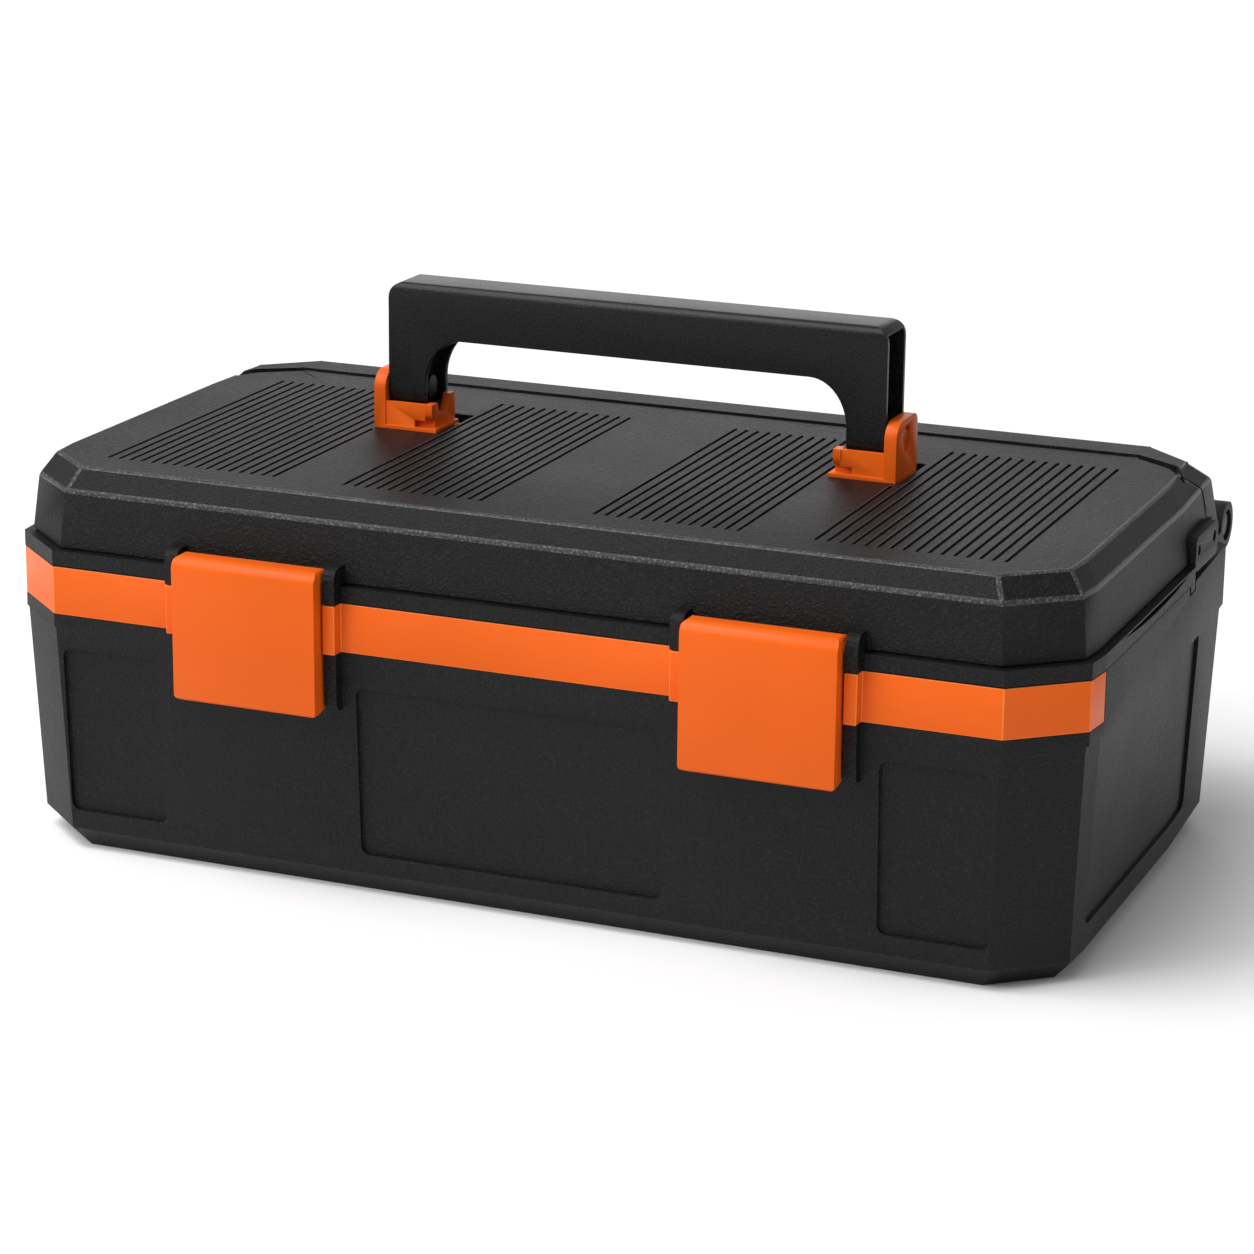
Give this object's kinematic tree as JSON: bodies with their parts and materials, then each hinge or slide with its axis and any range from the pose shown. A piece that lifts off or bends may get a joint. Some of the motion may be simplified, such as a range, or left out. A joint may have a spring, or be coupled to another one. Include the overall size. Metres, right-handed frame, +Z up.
{
  "type": "toolbox with tray",
  "caption": "Lidded plastic tool box with snap latches, a folding carry handle and a cantilever tray that lifts out as the lid opens.",
  "frame": {"origin": "middle of the tub's length and depth over its collar, on the flat underside the box stands on", "axes": "+X to the right along the front, +Y to the back where the hinge is, +Z up"},
  "size_m": [0.48, 0.2971, 0.235],
  "materials": {
    "black_plastic": "fine-grained moulded polypropylene, charcoal black",
    "handle_plastic": "smoother moulded polypropylene, black, satin",
    "orange_plastic": "satin moulded polypropylene, signal orange",
    "tray_plastic": "satin moulded polypropylene, signal orange",
    "zinc_steel": "zinc-plated steel strip, pins and rivets",
    "black_steel": "black-oxide steel hinge pins and screws"
  },
  "bodies": {
    "tub_body": {"tub": "black_plastic", "front_band": "orange_plastic", "hinge_pin_left": "black_steel", "hinge_pin_right": "black_steel", "tub_rivets": "zinc_steel"},
    "lid": {"lid_shell": "black_plastic", "side_plate_left": "black_plastic", "side_plate_right": "black_plastic", "plate_screws": "black_steel", "stud_bracket_left": "zinc_steel", "stud_bracket_right": "zinc_steel", "handle_bracket_left": "orange_plastic", "handle_bracket_right": "orange_plastic", "bracket_screws": "zinc_steel", "handle_pin_left": "orange_plastic", "handle_pin_right": "orange_plastic"},
    "carry_handle": {"handle": "handle_plastic"},
    "left_latch": {"latch_left": "orange_plastic"},
    "right_latch": {"latch_right": "orange_plastic"},
    "tray": {"tray_shell": "tray_plastic", "tray_dividers": "tray_plastic", "tray_rivets": "zinc_steel"},
    "left_front_arm": {"front_arm_left": "zinc_steel"},
    "right_front_arm": {"front_arm_right": "zinc_steel"},
    "left_rear_arm": {"rear_arm_left": "zinc_steel", "link_rivet_left": "zinc_steel"},
    "right_rear_arm": {"rear_arm_right": "zinc_steel", "link_rivet_right": "zinc_steel"},
    "left_link": {"drive_link_left": "zinc_steel"},
    "right_link": {"drive_link_right": "zinc_steel"}
  },
  "joints": [
    {"name": "lid_hinge", "type": "hinge", "parent": "tub_body", "child": "lid", "pos_m": [0, 0.141, 0.1285], "axis": [-1, 0, 0], "range_deg": [0, 95]},
    {"name": "handle_pivot", "type": "hinge", "parent": "lid", "child": "carry_handle", "pos_m": [0, 0.01, 0.187], "axis": [-1, 0, 0], "range_deg": [0, 90]},
    {"name": "left_latch_pivot", "type": "hinge", "parent": "lid", "child": "left_latch", "pos_m": [-0.1135, -0.1358, 0.1377], "axis": [-1, 0, 0], "range_deg": [0, 95]},
    {"name": "right_latch_pivot", "type": "hinge", "parent": "lid", "child": "right_latch", "pos_m": [0.1135, -0.1358, 0.1377], "axis": [-1, 0, 0], "range_deg": [0, 95]},
    {"name": "left_front_arm_pivot", "type": "hinge", "parent": "tub_body", "child": "left_front_arm", "pos_m": [-0.227, -0.016, 0.112], "axis": [-1, 0, 0], "range_deg": [0, 95]},
    {"name": "right_front_arm_pivot", "type": "hinge", "parent": "tub_body", "child": "right_front_arm", "pos_m": [0.227, -0.016, 0.112], "axis": [-1, 0, 0], "range_deg": [0, 95]},
    {"name": "left_rear_arm_pivot", "type": "hinge", "parent": "tub_body", "child": "left_rear_arm", "pos_m": [-0.227, 0.077, 0.112], "axis": [-1, 0, 0], "range_deg": [0, 95]},
    {"name": "right_rear_arm_pivot", "type": "hinge", "parent": "tub_body", "child": "right_rear_arm", "pos_m": [0.227, 0.077, 0.112], "axis": [-1, 0, 0], "range_deg": [0, 95]},
    {"name": "tray_pivot", "type": "hinge", "parent": "right_front_arm", "child": "tray", "pos_m": [0.227, -0.092, 0.112], "axis": [-1, 0, 0], "range_deg": [-95, 0]},
    {"name": "left_link_pivot", "type": "hinge", "parent": "lid", "child": "left_link", "pos_m": [-0.224, 0.081, 0.1285], "axis": [-1, 0, 0], "range_deg": [-95, 0]},
    {"name": "right_link_pivot", "type": "hinge", "parent": "lid", "child": "right_link", "pos_m": [0.224, 0.081, 0.1285], "axis": [-1, 0, 0], "range_deg": [-95, 0]}
  ],
  "couplings": [
    {"joint": "left_front_arm_pivot", "follows": "lid_hinge", "ratio": 1},
    {"joint": "right_front_arm_pivot", "follows": "lid_hinge", "ratio": 1},
    {"joint": "left_rear_arm_pivot", "follows": "lid_hinge", "ratio": 1},
    {"joint": "right_rear_arm_pivot", "follows": "lid_hinge", "ratio": 1},
    {"joint": "tray_pivot", "follows": "lid_hinge", "ratio": -1},
    {"joint": "left_link_pivot", "follows": "lid_hinge", "ratio": -1},
    {"joint": "right_link_pivot", "follows": "lid_hinge", "ratio": -1}
  ]
}
